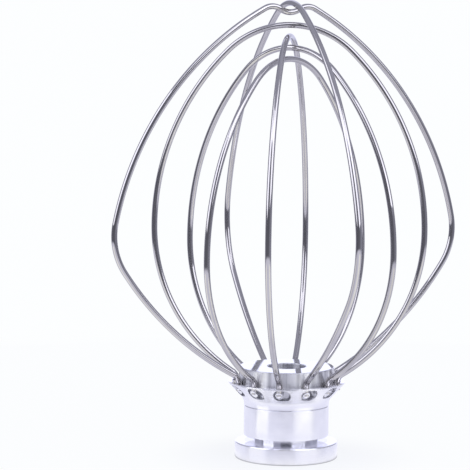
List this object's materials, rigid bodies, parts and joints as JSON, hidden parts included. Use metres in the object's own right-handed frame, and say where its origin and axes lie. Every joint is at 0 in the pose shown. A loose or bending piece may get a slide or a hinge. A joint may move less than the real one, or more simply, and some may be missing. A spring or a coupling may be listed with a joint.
{
  "type": "stand mixer wire whisk",
  "caption": "Balloon whisk for a stand mixer: nested bent steel wire loops clamped in a turned aluminium hub with a shaft bore and a pin twist lock.",
  "frame": {"origin": "centre of the base's flat face, on the hub's axis", "axes": "+Z along the hub's axis from the drive end up to the crowns of the loops; X lies in the plane of the dipped outer loop and Y in the plane of the plain outer loop"},
  "size_m": [0.1236, 0.1192, 0.1533],
  "materials": {
    "hub": "bright turned and polished",
    "plug": "bright turned and polished",
    "wire": "bright drawn stainless wire, polished"
  },
  "bodies": {
    "root": {"hub": "hub", "plug": "plug", "outer_loop_plain": "wire", "outer_loop_dipped": "wire", "inner_loop_1": "wire", "inner_loop_2": "wire", "inner_loop_3": "wire", "inner_loop_4": "wire"}
  },
  "joints": []
}
